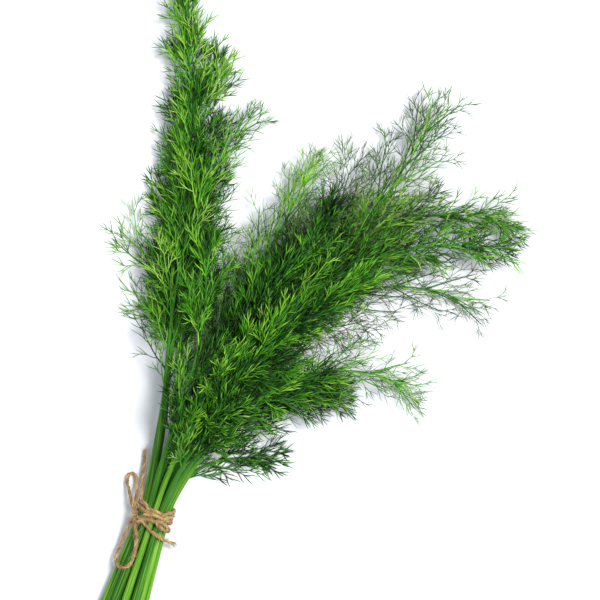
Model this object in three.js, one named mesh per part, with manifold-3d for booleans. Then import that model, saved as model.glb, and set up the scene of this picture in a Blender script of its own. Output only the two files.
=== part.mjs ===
// A bunch of dill, lying on its side and tied round the stems with jute twine.
// Millimetres, +Z up, lying on z = 0. +Y runs from the cut ends to the furthest sprig.
import * as THREE from "three";
import { mergeVertices } from "three/addons/utils/BufferGeometryUtils.js";
import Module from "manifold-3d";

const wasm = await Module();
wasm.setup();

const UP = new THREE.Vector3(0, 0, 1);
const point = (x, y, z) => new THREE.Vector3(x, y, z);
const radians = THREE.MathUtils.degToRad;
const lerp = THREE.MathUtils.lerp;

// The middle of everything below, which becomes the part's origin.
const BUNCH_MIDDLE = point(-4.2, 1.3, 0);
const WELD = 0.01; // slivers thinner than this are closed up

// ---- The tie ----
const TIE_CENTRE = point(-87.3, -111.5, 0);
const STEMS_LEAN = 18.5; // the bare stems lean this many degrees from +Y towards +X
const ALONG = point(Math.sin(radians(STEMS_LEAN)), Math.cos(radians(STEMS_LEAN)), 0);
const ACROSS = point(ALONG.y, -ALONG.x, 0);
const TWINE_RADIUS = 0.9;
const TWINE_GAP = 0.3; // between the twine and the stems it binds
const TWINE_FLAT = 0.35; // depth of the flat where the twine rests on the surface
const TWINE_SIDES = 6;
const TWINE_SPREAD = 120; // more than the twine's loops and tails spread
// The twine goes round five times and crosses on top. Its distance along the stems each time it passes
// the left side, the right side and so on, and how far each half turn rides up over the ones below it.
const WRAP_ENDS = [9, -1, 7, 2.5, -4, 8, 5, 0.5, -6.5, 5, 1];
const WRAP_LIFTS = [0, 0, 0.4, 0, 1.3, 0, 1.7, 0, 2.1, 0];
const WRAP_STEPS = 9; // to a half turn
const COIL_STEPS = 7; // to a turn of the knot
// The rest of the twine, in places by the tie: distance across the stems, along them, and height.
const FREE_TAIL = [
  [-16.3, 33.9, 1.8],
  [-14.9, 28.5, 3],
  [-13.6, 24, 4.2],
  [-12.3, 18, 5.4],
  [-11, 13, 6.2],
];
const SHORT_TAIL = [
  [-5.6, -2.2, 16.2],
  [-2.3, -4, 16.8],
  [0.9, -6, 16.6],
  [5.1, -7.8, 15.8],
  [9, -9, 13.4],
  [12.8, -9.6, 10.4],
  [16.5, -10.3, 7.6],
];
const KNOT = [-10.4, -1.5, 11.6];
const KNOT_COIL = { radius: 1.2, pitch: 1.9, turns: 2.25 };
const UPPER_LOOP = [
  [-10.4, 0.5, 11.4],
  [-13.6, 4.2, 9.5],
  [-16.5, 8.5, 6.5],
  [-19.6, 13, 4],
  [-20.8, 17, 2.6],
  [-19.2, 19.6, 2],
  [-16.6, 18.6, 2.4],
  [-14.8, 15.3, 4],
  [-13.3, 11, 6.4],
  [-12, 6, 9],
  [-10.4, 1, 12],
];
const LOWER_LOOP = [
  [-10.4, -3, 11.2],
  [-11.4, -6.5, 9.2],
  [-12, -12.6, 7],
  [-12.5, -20.7, 6],
  [-12.7, -26.7, 6.6],
  [-11, -30.1, 10],
  [-7.8, -30.8, 14.5],
  [-4.4, -28.7, 16.9],
  [-3.1, -23.9, 16.8],
  [-3.8, -17.1, 16.6],
  [-5.3, -11.1, 16],
  [-8.4, -5.7, 14],
  [-10.2, -2.5, 12.2],
];
const FOLDED_LOOP = [
  [3.2, 0.6, 17.6],
  [7.2, -0.8, 15.4],
  [10.9, -3, 11.8],
  [11.1, -4.4, 11.4],
  [9, -4.3, 13.2],
  [5.5, -2.6, 16.6],
  [2.5, -0.8, 17.8],
];

// ---- The stems ----
const STEM_SIDES = 5;
const CUT_RADIUS = 2.3;
const TIE_RADIUS = 1.65;
const NEAR_TIP_RADIUS = 0.75; // one step of the bend below the tip, which ends in a point
const ROW_SIZES = [4, 5, 4, 3]; // stems side by side at the tie, from the lowest row up
const TIE_PITCH = 3.62; // from stem to stem, at the tie
const TIE_ROW_STEP = TIE_PITCH * Math.sin(Math.PI / 3);
const TIE_STEM_Z = 2 * TWINE_RADIUS - TWINE_FLAT + TWINE_GAP + TIE_RADIUS; // axis of the lowest row
const CUT_PITCH = 6.2; // from stem to stem, where they splay at the cut ends
const CUT_STEM_Z = CUT_RADIUS + 0.05;
const CUT_ROW_STEP = 3.9;
const CUT_BELOW_TIE = 72;
const CUT_UNEVEN = 8; // the cut ends differ by up to this much
const PARALLEL_ABOVE_TIE = 10;
const FAN = 4; // degrees by which each stem of a row turns from its neighbour as it leaves the tie
const BEND_SHARE = 0.38; // how far a stem keeps its heading at each end of its bend
const BEND_STEPS = 8;

// ---- The foliage ----
const FROND_SPACING = 14;
const FROND_RADII = [0.5, 0.8, 0.7, 0]; // the first lies inside the stem
const FROND_LEAVES_AT = radians(45); // between a stem and its lowest fronds; the upper ones stand closer
const FROND_ENDS_AT = radians(23);
const FROND_ROLL = radians(25); // fronds lean up or down from level by up to this much
const TOP_ROW = 3;
const TOP_ROW_RISES = radians(45); // its fronds lean up by this more, since nothing lies on them
const ROLLS_TRIED = [0, 25, -25, 50, -50].map(radians); // added to that until the frond hangs clear
const FROND_SIZES_TRIED = [1, 0.75, 0.55];
const FROND_VARIES = [0.88, 1.08];
const FROND_LONGEST_AT = 0.3; // share of the way up the leafy part of a stem
const FROND_AT_BASE = 0.75; // shares of the stem's longest frond
const FROND_AT_TIP = 0.5;
const LAST_FROND_AT = 0.97;
const LEAFLET_STARTS = 0.28; // first leaflet, as a share of its frond's length
const LEAFLET_ENDS = 0.68;
const LEAFLETS = 5; // on a frond, besides its own tip
const LEAFLET_RADIUS = 0.4;
const LEAFLET_LEAVES_AT = radians(40);
const LEAFLET_SHARE = 0.42; // the longest leaflet, as a share of its frond
const LEAFLET_SHRINKS = 0.45; // towards the frond's tip
const LEAFLET_VARIES = [0.85, 1.15];
const LEAFLET_LIFT = 0.35; // leaflets stand out of the flat of their frond by up to this slope
// Slopes added to that, and shares of the full length, until the leaflet is clear of all the others.
const LEAFLETS_TRIED = [
  [0, 1],
  [0.6, 1],
  [-0.6, 1],
  [0, 0.6],
  [0.9, 0.6],
  [-0.9, 0.6],
];
const CLEAR = 0.3; // free air between one frond or leaflet and the next
const FROND_SAG = 0.1; // how far a frond's tip sags, as a share of its length
const LOWEST_FROND = 0.85; // height of the axis of a frond that lies on the surface
const LOWEST_TIP = 0.1; // height of the leaflet tips that touch it

// Each leafy stem: its row and place at the tie, its tip, its heading there in degrees from +Y towards +X,
// the height it arches to, the length that is bare above the tie, and its longest frond.
const LEAFY_STEMS = [
  { row: 0, place: 0, tip: [-97, 43, 3], heading: -30, arch: 5, bare: 100, frond: 40 },
  { row: 0, place: 1, tip: [-50, 138, 3], heading: 22, arch: 6, bare: 92, frond: 38 },
  { row: 0, place: 2, tip: [83, 9, 3], heading: 114, arch: 6, bare: 80, frond: 46 },
  { row: 0, place: 3, tip: [-28, -79, 2], heading: 98, arch: 5, bare: 22, frond: 32 },
  { row: 1, place: 0, tip: [-70, 180, 8], heading: -6, arch: 15, bare: 92, frond: 38 },
  { row: 1, place: 1, tip: [-2, 78, 10], heading: 24, arch: 16, bare: 84, frond: 38 },
  { row: 1, place: 2, tip: [66, 106, 12], heading: 28, arch: 13, bare: 116, frond: 54 },
  { row: 1, place: 3, tip: [105, 52, 9], heading: 106, arch: 21, bare: 96, frond: 42 },
  { row: 1, place: 4, tip: [52, -40, 6], heading: 124, arch: 15, bare: 60, frond: 38 },
  { row: 2, place: 0, tip: [-39, 103, 14], heading: 36, arch: 26, bare: 80, frond: 34 },
  { row: 2, place: 1, tip: [8, 52, 22], heading: 36, arch: 27, bare: 62, frond: 38 },
  { row: 2, place: 2, tip: [101, 37, 16], heading: 100, arch: 28, bare: 78, frond: 42 },
  { row: 2, place: 3, tip: [6, -45, 10], heading: 96, arch: 25, bare: 42, frond: 36 },
  { row: 3, place: 0, tip: [-57, 26, 32], heading: -2, arch: 38, bare: 66, frond: 34 },
  { row: 3, place: 1, tip: [19, 14, 34], heading: 56, arch: 38, bare: 46, frond: 38 },
  { row: 3, place: 2, tip: [-2, -34, 27], heading: 78, arch: 36, bare: 38, frond: 34 },
];

// The same draws every time: the minimal standard generator.
function seeded(seed) {
  let state = seed;
  return (low, high) => {
    state = (state * 16807) % 2147483647;
    return low + ((high - low) * state) / 2147483647;
  };
}

// ---- Solids ----

function solid(positions, indices) {
  const vertProperties = new Float32Array(positions);
  const triVerts = new Uint32Array(indices);
  return new wasm.Manifold(new wasm.Mesh({ numProp: 3, vertProperties, triVerts }));
}

// A tube along points with a radius at each, closed at both ends. A last radius of 0 makes a point.
// A four-sided one turns two of its sides towards and away from upward.
function taperedTube(points, radii, sides, upward = UP) {
  const last = points.length - 1;
  const pointed = radii[last] === 0;
  const positions = [];
  const indices = [];
  const firstWay = points[1].clone().sub(points[0]).normalize();
  const steep = Math.abs(firstWay.dot(upward)) > 0.95;
  const normal = new THREE.Vector3().crossVectors(firstWay, steep ? ACROSS : upward);
  points.forEach((place, i) => {
    const way = points[Math.min(i + 1, last)].clone().sub(points[Math.max(i - 1, 0)]).normalize();
    normal.addScaledVector(way, -normal.dot(way)).normalize();
    const binormal = new THREE.Vector3().crossVectors(way, normal);
    const corners = pointed && i === last ? 1 : sides;
    for (let k = 0; k < corners; k++) {
      const turn = (2 * Math.PI * (k + 0.5)) / sides;
      const corner = place.clone().addScaledVector(normal, radii[i] * Math.cos(turn));
      corner.addScaledVector(binormal, radii[i] * Math.sin(turn));
      positions.push(corner.x, corner.y, corner.z);
    }
  });
  const corner = (ring, k) => (pointed && ring === last ? last * sides : ring * sides + (k % sides));
  for (let ring = 0; ring < last; ring++) {
    for (let k = 0; k < sides; k++) {
      indices.push(corner(ring, k), corner(ring, k + 1), corner(ring + 1, k + 1));
      if (!(pointed && ring === last - 1)) {
        indices.push(corner(ring, k), corner(ring + 1, k + 1), corner(ring + 1, k));
      }
    }
  }
  for (let k = 1; k < sides - 1; k++) {
    indices.push(corner(0, 0), corner(0, k + 1), corner(0, k));
    if (!pointed) indices.push(corner(last, 0), corner(last, k), corner(last, k + 1));
  }
  return solid(positions, indices);
}

// ---- Keeping the leafy stems clear of each other ----

// The free air between two straight tapering pieces, where their axes come nearest each other.
function airBetween(a, b) {
  const alongA = a.to.clone().sub(a.from);
  const alongB = b.to.clone().sub(b.from);
  const apart = a.from.clone().sub(b.from);
  const aa = alongA.dot(alongA);
  const bb = alongB.dot(alongB);
  const ab = alongA.dot(alongB);
  const aApart = alongA.dot(apart);
  const bApart = alongB.dot(apart);
  const spread = aa * bb - ab * ab;
  let s = spread > 1e-9 ? THREE.MathUtils.clamp((ab * bApart - aApart * bb) / spread, 0, 1) : 0;
  const t = THREE.MathUtils.clamp((ab * s + bApart) / bb, 0, 1);
  s = THREE.MathUtils.clamp((ab * t - aApart) / aa, 0, 1);
  const distance = apart.addScaledVector(alongA, s).addScaledVector(alongB, -t).length();
  return distance - lerp(a.startRadius, a.endRadius, s) - lerp(b.startRadius, b.endRadius, t);
}

const placedPieces = [];

// A limb is the stem, or the frond, that straight pieces belong to. Leaflets belong to their frond.
function piecesOf(points, radii, limb) {
  return points.slice(1).map((to, i) => {
    return { from: points[i], to, startRadius: radii[i], endRadius: radii[i + 1], limb };
  });
}

function isClear(pieces, ...growsFrom) {
  return pieces.every((piece) =>
    placedPieces.every((other) => growsFrom.includes(other.limb) || airBetween(piece, other) > CLEAR),
  );
}

// ---- Stems ----

// A point by its distance along the stems from the tie, across them, and its height.
function byTheTie(along, across, z) {
  return TIE_CENTRE.clone().addScaledVector(ALONG, along).addScaledVector(ACROSS, across).setZ(z);
}

const slotOf = (stem) => stem.place - (ROW_SIZES[stem.row] - 1) / 2;

function headingWay(degrees) {
  return point(Math.sin(radians(degrees)), Math.cos(radians(degrees)), 0);
}

function stemAxis(stem, uneven) {
  const slot = slotOf(stem);
  const tieZ = TIE_STEM_Z + stem.row * TIE_ROW_STEP;
  const cut = byTheTie(-CUT_BELOW_TIE - uneven, slot * CUT_PITCH, CUT_STEM_Z + stem.row * CUT_ROW_STEP);
  const tied = byTheTie(0, slot * TIE_PITCH, tieZ);
  const leaving = byTheTie(PARALLEL_ABOVE_TIE, slot * TIE_PITCH, tieZ);
  const tip = point(...stem.tip);
  const keeps = leaving.distanceTo(tip) * BEND_SHARE;
  const fanned = headingWay(STEMS_LEAN + slot * FAN);
  const rising = leaving.clone().addScaledVector(fanned, keeps).setZ(stem.arch);
  const falling = tip.clone().addScaledVector(headingWay(stem.heading), -keeps).setZ(stem.arch);
  const bend = new THREE.CubicBezierCurve3(leaving, rising, falling, tip);
  return [cut, tied, ...bend.getPoints(BEND_STEPS)];
}

function stemRadii(axis) {
  const last = axis.length - 1;
  return axis.map((_, i) => {
    if (i === 0) return CUT_RADIUS;
    return i === last ? 0 : lerp(TIE_RADIUS, NEAR_TIP_RADIUS, (i - 1) / (last - 2));
  });
}

// ---- Fronds and their leaflets ----

// The place on a line of points at a distance from its start, and the way the line runs there.
function alongLine(points, distance) {
  let left = distance;
  for (let i = 1; i < points.length; i++) {
    const step = points[i].clone().sub(points[i - 1]);
    const length = step.length();
    const way = step.clone().divideScalar(length);
    if (left <= length || i === points.length - 1) {
      return { place: points[i - 1].clone().addScaledVector(way, left), way };
    }
    left -= length;
  }
}

function lengthOf(points) {
  return points.slice(1).reduce((sum, place, i) => sum + place.distanceTo(points[i]), 0);
}

// A frond leaves its stem to one side, rolled up or down from level, and curves towards the stem's way.
function frondAxis(root, way, side, leavesAt, roll, length) {
  const level = new THREE.Vector3().crossVectors(way, UP).normalize();
  const rising = new THREE.Vector3().crossVectors(level, way);
  const out = level.multiplyScalar(side * Math.cos(roll)).addScaledVector(rising, Math.sin(roll));
  const steps = FROND_RADII.length - 1;
  const axis = [root.clone()];
  for (let i = 0; i < steps; i++) {
    const angle = lerp(leavesAt, FROND_ENDS_AT, i / (steps - 1));
    const next = axis[i].clone().addScaledVector(way, (Math.cos(angle) * length) / steps);
    next.addScaledVector(out, (Math.sin(angle) * length) / steps);
    axis.push(next);
  }
  axis.forEach((place, i) => {
    place.z = Math.max(place.z - FROND_SAG * length * (i / steps) ** 2, LOWEST_FROND);
  });
  return axis;
}

// Fronds are shorter towards both ends of the leafy part of the stem.
function frondLengthAt(share) {
  if (share < FROND_LONGEST_AT) return lerp(FROND_AT_BASE, 1, share / FROND_LONGEST_AT);
  return lerp(1, FROND_AT_TIP, (share - FROND_LONGEST_AT) / (1 - FROND_LONGEST_AT));
}

// Sets out one stem's fronds. Each takes the first roll and length that is clear of all the others.
function setOutFronds(axis, stem, draw) {
  const fronds = [];
  const start = axis[1].distanceTo(axis[0]) + stem.bare;
  const leafy = lengthOf(axis) - start;
  const count = Math.floor(leafy / FROND_SPACING);
  for (let i = 0; i < count; i++) {
    const share = Math.min((i + draw(-0.2, 0.2)) / (count - 1), 1) * LAST_FROND_AT;
    const { place, way } = alongLine(axis, start + share * leafy);
    const side = i % 2 ? 1 : -1;
    const leavesAt = lerp(FROND_LEAVES_AT, FROND_ENDS_AT, share ** 2);
    const roll = draw(-FROND_ROLL, FROND_ROLL) + (stem.row === TOP_ROW ? TOP_ROW_RISES : 0);
    const length = stem.frond * frondLengthAt(share) * draw(...FROND_VARIES);
    const axes = FROND_SIZES_TRIED.flatMap((size) =>
      ROLLS_TRIED.map((more) => frondAxis(place, way, side, leavesAt, roll + more, length * size)),
    );
    const frond = axes.find((tried) => isClear(piecesOf(tried, FROND_RADII, tried), axis));
    if (frond) {
      placedPieces.push(...piecesOf(frond, FROND_RADII, frond));
      fronds.push(frond);
    }
  }
  return fronds;
}

// The way that the flat of a frond faces.
function faceOf(frond) {
  const first = frond[1].clone().sub(frond[0]);
  const last = frond[3].clone().sub(frond[2]);
  return first.cross(last).normalize();
}

// Leaflets leave a frond to both sides in turn, the longest near its root.
function setOutLeaflets(frond, draw) {
  const leaflets = [];
  const length = lengthOf(frond);
  const face = faceOf(frond);
  for (let i = 0; i < LEAFLETS; i++) {
    const share = lerp(LEAFLET_STARTS, LEAFLET_ENDS, i / (LEAFLETS - 1));
    const { place, way } = alongLine(frond, share * length);
    const aside = new THREE.Vector3().crossVectors(face, way).multiplyScalar(i % 2 ? 1 : -1);
    const lift = draw(-LEAFLET_LIFT, LEAFLET_LIFT);
    const long = LEAFLET_SHARE * length * (1 - LEAFLET_SHRINKS * share) * draw(...LEAFLET_VARIES);
    for (const [bend, size] of LEAFLETS_TRIED) {
      const out = aside.clone().addScaledVector(face, lift + bend).normalize();
      const tip = place.clone().addScaledVector(way, Math.cos(LEAFLET_LEAVES_AT) * long * size);
      tip.addScaledVector(out, Math.sin(LEAFLET_LEAVES_AT) * long * size);
      tip.z = Math.max(tip.z, LOWEST_TIP);
      const pieces = piecesOf([place, tip], [LEAFLET_RADIUS, 0], frond);
      if (isClear(pieces, frond)) {
        placedPieces.push(...pieces);
        leaflets.push({ axis: [place, tip], face });
        break;
      }
    }
  }
  return leaflets;
}

// One stem with its fronds and leaflets, grown together.
function leafyStem({ axis, fronds, leaflets }) {
  const stalk = taperedTube(axis, stemRadii(axis), STEM_SIDES);
  const ribs = fronds.map((frond) => taperedTube(frond, FROND_RADII, 4, faceOf(frond)));
  const threads = leaflets.map(({ axis: [root, tip], face }) =>
    taperedTube([root, tip], [LEAFLET_RADIUS, 0], 3, face),
  );
  return wasm.Manifold.union([stalk, ...ribs, ...threads]).simplify(WELD);
}

// ---- The twine ----

// The stems where a cut across them at a distance along from the tie meets them.
function stemsAcross(along) {
  const share = Math.max(-along, 0) / CUT_BELOW_TIE;
  return LEAFY_STEMS.map((stem) => ({
    across: slotOf(stem) * lerp(TIE_PITCH, CUT_PITCH, share),
    z: lerp(TIE_STEM_Z + stem.row * TIE_ROW_STEP, CUT_STEM_Z + stem.row * CUT_ROW_STEP, share),
    radius: lerp(TIE_RADIUS, CUT_RADIUS, share),
  }));
}

// The twine's axis where it is taut round the stems, on the side that faces this angle: 0 is across them.
function tautTwine(angle, along, lift) {
  const reach = (stem) => stem.across * Math.cos(angle) + stem.z * Math.sin(angle) + stem.radius;
  const outer = stemsAcross(along).reduce((a, b) => (reach(b) > reach(a) ? b : a));
  const off = outer.radius + TWINE_GAP + TWINE_RADIUS + lift;
  return byTheTie(along, outer.across + off * Math.cos(angle), outer.z + off * Math.sin(angle));
}

// Half turns go over the stems from left to right, then under them from right to left.
function wrappedTwine() {
  const points = [];
  WRAP_LIFTS.forEach((lift, half) => {
    for (let i = 0; i < WRAP_STEPS; i++) {
      const share = i / WRAP_STEPS;
      const along = lerp(WRAP_ENDS[half], WRAP_ENDS[half + 1], share);
      points.push(tautTwine(Math.PI * (1 - half - share), along, lift * Math.sin(Math.PI * share)));
    }
  });
  return points;
}

function coiledTwine([across, along, z], { radius, pitch, turns }) {
  const steps = Math.round(turns * COIL_STEPS);
  const centre = byTheTie(along, across, z);
  return Array.from({ length: steps + 1 }, (_, i) => {
    const turn = (2 * Math.PI * turns * i) / steps;
    const rise = pitch * turns * (i / steps - 0.5);
    return centre.clone().add(point(radius * Math.cos(turn), rise, radius * Math.sin(turn)));
  });
}

function looseTwine(places, steps) {
  const curve = new THREE.CatmullRomCurve3(places.map(([across, along, z]) => byTheTie(along, across, z)));
  return curve.getPoints(steps);
}

function twineTie() {
  const strand = (points) => taperedTube(points, points.map(() => TWINE_RADIUS), TWINE_SIDES);
  const wrapped = [...looseTwine(FREE_TAIL, 6), ...wrappedTwine()];
  const tie = wasm.Manifold.union([
    strand(wrapped),
    strand(coiledTwine(KNOT, KNOT_COIL)),
    strand(looseTwine(UPPER_LOOP, 18)),
    strand(looseTwine(LOWER_LOOP, 22)),
    strand(looseTwine(FOLDED_LOOP, 12)),
    strand(looseTwine(SHORT_TAIL, 9)),
  ]);
  return tie.subtract(underTheSurface()).simplify(WELD);
}

// A block below z = 0 round the tie, wider than the loops reach, to cut the twine's flat.
function underTheSurface() {
  const box = new THREE.BoxGeometry(TWINE_SPREAD, TWINE_SPREAD, TWINE_SPREAD);
  box.translate(TIE_CENTRE.x, TIE_CENTRE.y, -TWINE_SPREAD / 2);
  box.deleteAttribute("normal");
  box.deleteAttribute("uv");
  const merged = mergeVertices(box);
  return solid(merged.getAttribute("position").array, merged.index.array);
}

// ---- The model ----

function addMesh(name, shape, material, parent) {
  const { numProp, vertProperties, triVerts } = shape.getMesh();
  const geometry = new THREE.BufferGeometry();
  geometry.setAttribute("position", new THREE.BufferAttribute(vertProperties, numProp));
  geometry.setIndex(new THREE.BufferAttribute(triVerts, 1));
  geometry.computeVertexNormals();
  const mesh = new THREE.Mesh(geometry, material);
  mesh.name = name;
  parent.add(mesh);
}

const bunch = new THREE.Group();
bunch.position.copy(BUNCH_MIDDLE).negate();
const draw = seeded(271);
const leafGreen = new THREE.MeshStandardMaterial({ color: 0x4f9630, roughness: 0.55, metalness: 0 });

const sprigs = LEAFY_STEMS.map((stem) => {
  const axis = stemAxis(stem, draw(0, CUT_UNEVEN));
  placedPieces.push(...piecesOf(axis, stemRadii(axis), axis));
  return { stem, axis };
});
for (const sprig of sprigs) sprig.fronds = setOutFronds(sprig.axis, sprig.stem, draw);
for (const sprig of sprigs) sprig.leaflets = sprig.fronds.flatMap((frond) => setOutLeaflets(frond, draw));
for (const sprig of sprigs) {
  const { row, place } = sprig.stem;
  addMesh(`leafy_stem_row${row + 1}_${place + 1}`, leafyStem(sprig), leafGreen, bunch);
}

const juteTan = new THREE.MeshStandardMaterial({ color: 0xa8835a, roughness: 0.85, metalness: 0 });
addMesh("jute_twine", twineTie(), juteTan, bunch);

export default bunch;
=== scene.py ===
"""A bunch of dill, laid on its side and tied round the stems with jute twine."""

import bpy
import numpy as np
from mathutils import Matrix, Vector


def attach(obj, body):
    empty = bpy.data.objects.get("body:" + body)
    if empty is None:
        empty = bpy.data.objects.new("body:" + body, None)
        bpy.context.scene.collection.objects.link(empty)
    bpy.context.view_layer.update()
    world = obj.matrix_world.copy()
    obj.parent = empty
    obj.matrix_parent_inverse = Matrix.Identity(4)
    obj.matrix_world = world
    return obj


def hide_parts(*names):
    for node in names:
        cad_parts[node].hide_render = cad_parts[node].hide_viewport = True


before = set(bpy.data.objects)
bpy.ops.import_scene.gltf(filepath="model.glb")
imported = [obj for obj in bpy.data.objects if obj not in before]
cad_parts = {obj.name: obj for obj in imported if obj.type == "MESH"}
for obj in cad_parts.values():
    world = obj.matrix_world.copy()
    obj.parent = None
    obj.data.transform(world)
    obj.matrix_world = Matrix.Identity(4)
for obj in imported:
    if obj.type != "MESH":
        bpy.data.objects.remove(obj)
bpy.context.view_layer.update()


# ---- The camera ----
# It looks straight down on the bunch, which lies on its side, and takes in the width of the fan of sprigs.
# It is far enough away that near and far sprigs keep one scale.
MM = 0.001
# Places are in millimetres, from the point that the solids were set out from. The part's origin is here in
# them.
BUNCH_MIDDLE = np.array([-4.2, 1.3, 0])
CAMERA_HEIGHT = 1200
VIEW_MIDDLE = np.array([-6, 9, 15]) - BUNCH_MIDDLE  # at the height of the middle of the foliage
VIEW_WIDTH = 330
SENSOR = 36

camera = bpy.data.objects.new("camera", bpy.data.cameras.new("camera"))
camera.data.sensor_width = SENSOR
camera.data.lens = SENSOR * (CAMERA_HEIGHT - VIEW_MIDDLE[2]) / VIEW_WIDTH
camera.location = (VIEW_MIDDLE[0] * MM, VIEW_MIDDLE[1] * MM, CAMERA_HEIGHT * MM)
bpy.context.scene.collection.objects.link(camera)
bpy.context.scene.camera = camera


# ---- Leafy stems ----
# Sixteen cut stems of dill: each a fluted hollow green stalk that thins towards its tip, with feathery fronds
# to both sides. Every frond divides three times, down to threads 0.3 to 0.6 mm thick. Stalk and fronds grew
# as one.
TIE_CENTRE = np.array([-87.3, -111.5, 0])
STEMS_LEAN = np.radians(18.5)  # the bare stems lean this far from +Y towards +X
ALONG = np.array([np.sin(STEMS_LEAN), np.cos(STEMS_LEAN), 0])
ACROSS = np.array([np.cos(STEMS_LEAN), -np.sin(STEMS_LEAN), 0])
UP = np.array([0, 0, 1])

# Each leafy stem: its row and place at the tie, its tip, its heading there in degrees from +Y towards +X, the
# height it arches to, the length above the tie that is bare of the solids' fronds, how much lower the further
# rounds of fronds start, its longest frond, how yellow its green is, how many further rounds it has, how far
# its shoots stand apart, 1 being dense, and how dry its finest threads are, from 0 to 1. Shoots that stand
# further apart are thinner too, and leave their parents at wider angles.
LEAFY_STEMS = [
    (0, 0, (-97, 43, 3), -30, 5, 100, 24, 42, 0.74, 1, 1.4, 0.1),
    (0, 1, (-50, 138, 3), 22, 6, 92, 0, 36, 0.55, 1, 1.1, 0.1),
    (0, 2, (83, 9, 3), 114, 6, 80, 0, 52, 0.54, 2, 1.7, 0.85),
    (0, 3, (-28, -79, 2), 98, 5, 22, 0, 28, 0.42, 2, 1.1, 0),
    (1, 0, (-70, 180, 8), -6, 15, 92, 0, 33, 0.52, 4, 1, 0),
    (1, 1, (-2, 78, 10), 24, 16, 84, 0, 44, 0.64, 4, 1.5, 0.15),
    (1, 2, (66, 106, 12), 28, 13, 116, 0, 54, 0.52, 2, 1.35, 0.65),
    (1, 3, (105, 52, 9), 106, 21, 96, 0, 38, 0.56, 2, 1.15, 0.35),
    (1, 4, (52, -40, 6), 124, 15, 60, 0, 40, 0.6, 2, 1.4, 0.4),
    (2, 0, (-39, 103, 14), 36, 26, 80, 8, 38, 0.5, 2, 1.35, 0.1),
    (2, 1, (8, 52, 22), 36, 27, 62, 0, 38, 0.3, 3, 1, 0),
    (2, 2, (101, 37, 16), 100, 28, 78, 0, 38, 0.46, 2, 1.1, 0.2),
    (2, 3, (6, -45, 10), 96, 25, 42, 0, 36, 0.4, 3, 1, 0),
    (3, 0, (-57, 26, 32), -2, 38, 66, 20, 34, 0.4, 2, 1, 0),
    (3, 1, (19, 14, 34), 56, 38, 46, 12, 38, 0.38, 3, 1, 0),
    (3, 2, (-2, -34, 27), 78, 36, 38, 0, 34, 0.38, 3, 1, 0),
]
ROW_SIZES = [4, 5, 4, 3]  # stems side by side at the tie, from the lowest row up
TOP_ROW = 3
CUT_RADIUS = 2.3
TIE_RADIUS = 1.65
TIP_RADIUS = 0.35
TIE_PITCH = 3.62  # from stem to stem, at the tie
TIE_ROW_STEP = TIE_PITCH * np.sin(np.pi / 3)
TIE_STEM_Z = 3.4
CUT_PITCH = 6.2
CUT_STEM_Z = CUT_RADIUS + 0.05
CUT_ROW_STEP = 3.9
CUT_BELOW_TIE = 72
CUT_UNEVEN = 8
PARALLEL_ABOVE_TIE = 10
TIED_STEPS = [0, 0.33, 0.67]  # shares of the straight length above the tie
FAN = 4  # degrees by which each stem turns from its neighbour as it leaves the tie
BEND_SHARE = 0.38  # how far a stem keeps its heading at each end of its bend
BEND_LONGER = 1.15  # than the straight way, about
STALK_RADII = [(0, TIE_RADIUS), (0.35, 1.05), (0.7, 0.55), (1, TIP_RADIUS)]  # by the share of the bend
RIBS = 9  # fine ridges round a stalk
GROOVE = 0.95  # share of the radius in the grooves between them
STALK_STEP = 3.5
STALK_STEPS_BELOW_TIE = 21
STALK_SIDES = 2 * RIBS
# The cut end, from inside out: how far along the stalk each ring of it lies, and its share of the radius.
CUT_END = [(2.6, 0.45), (0.1, 0.52), (0, 0.62), (0, 0.92), (0.3, 1)]


def unit(ways):
    return ways / np.linalg.norm(ways, axis=-1, keepdims=True)


def mix(a, b, share):
    return a + (b - a) * share


def seeded(seed):
    """The same draws as the solids take: the minimal standard generator."""
    multiplier, modulus = 16807, 2147483647
    state = seed

    def draw(low, high):
        nonlocal state
        state = state * multiplier % modulus
        return low + (high - low) * state / modulus

    return draw


def by_the_tie(along, across, z):
    return TIE_CENTRE + along * ALONG + across * ACROSS + z * UP


def heading_way(degrees):
    return np.array([np.sin(np.radians(degrees)), np.cos(np.radians(degrees)), 0])


def stalk_line(row, place, tip, heading, arch, uneven):
    """The middle line of a stalk from its cut end to its tip, and its radius along it."""
    slot = place - (ROW_SIZES[row] - 1) / 2
    tie_z = TIE_STEM_Z + row * TIE_ROW_STEP
    cut = by_the_tie(-CUT_BELOW_TIE - uneven, slot * CUT_PITCH, CUT_STEM_Z + row * CUT_ROW_STEP)
    tied = by_the_tie(0, slot * TIE_PITCH, tie_z)
    leaving = by_the_tie(PARALLEL_ABOVE_TIE, slot * TIE_PITCH, tie_z)
    tip = np.array(tip, float)
    keeps = np.linalg.norm(tip - leaving) * BEND_SHARE
    rising = leaving + keeps * heading_way(np.degrees(STEMS_LEAN) + slot * FAN)
    falling = tip - keeps * heading_way(heading)
    rising[2] = falling[2] = arch
    below = mix(cut, tied, np.linspace(0, 1, STALK_STEPS_BELOW_TIE, endpoint=False)[:, None])
    at_tie = mix(tied, leaving, np.array(TIED_STEPS)[:, None])
    steps = round(np.linalg.norm(tip - leaving) * BEND_LONGER / STALK_STEP)
    t = np.linspace(0, 1, steps)[:, None]
    bend = (1 - t) ** 3 * leaving + 3 * (1 - t) ** 2 * t * rising + 3 * (1 - t) * t**2 * falling + t**3 * tip
    radii = np.concatenate([
        np.linspace(CUT_RADIUS, TIE_RADIUS, len(below), endpoint=False),
        np.full(len(at_tie), TIE_RADIUS),
        np.interp(t[:, 0], *zip(*STALK_RADII)),
    ])
    return np.concatenate([below, at_tie, bend]), radii


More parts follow.
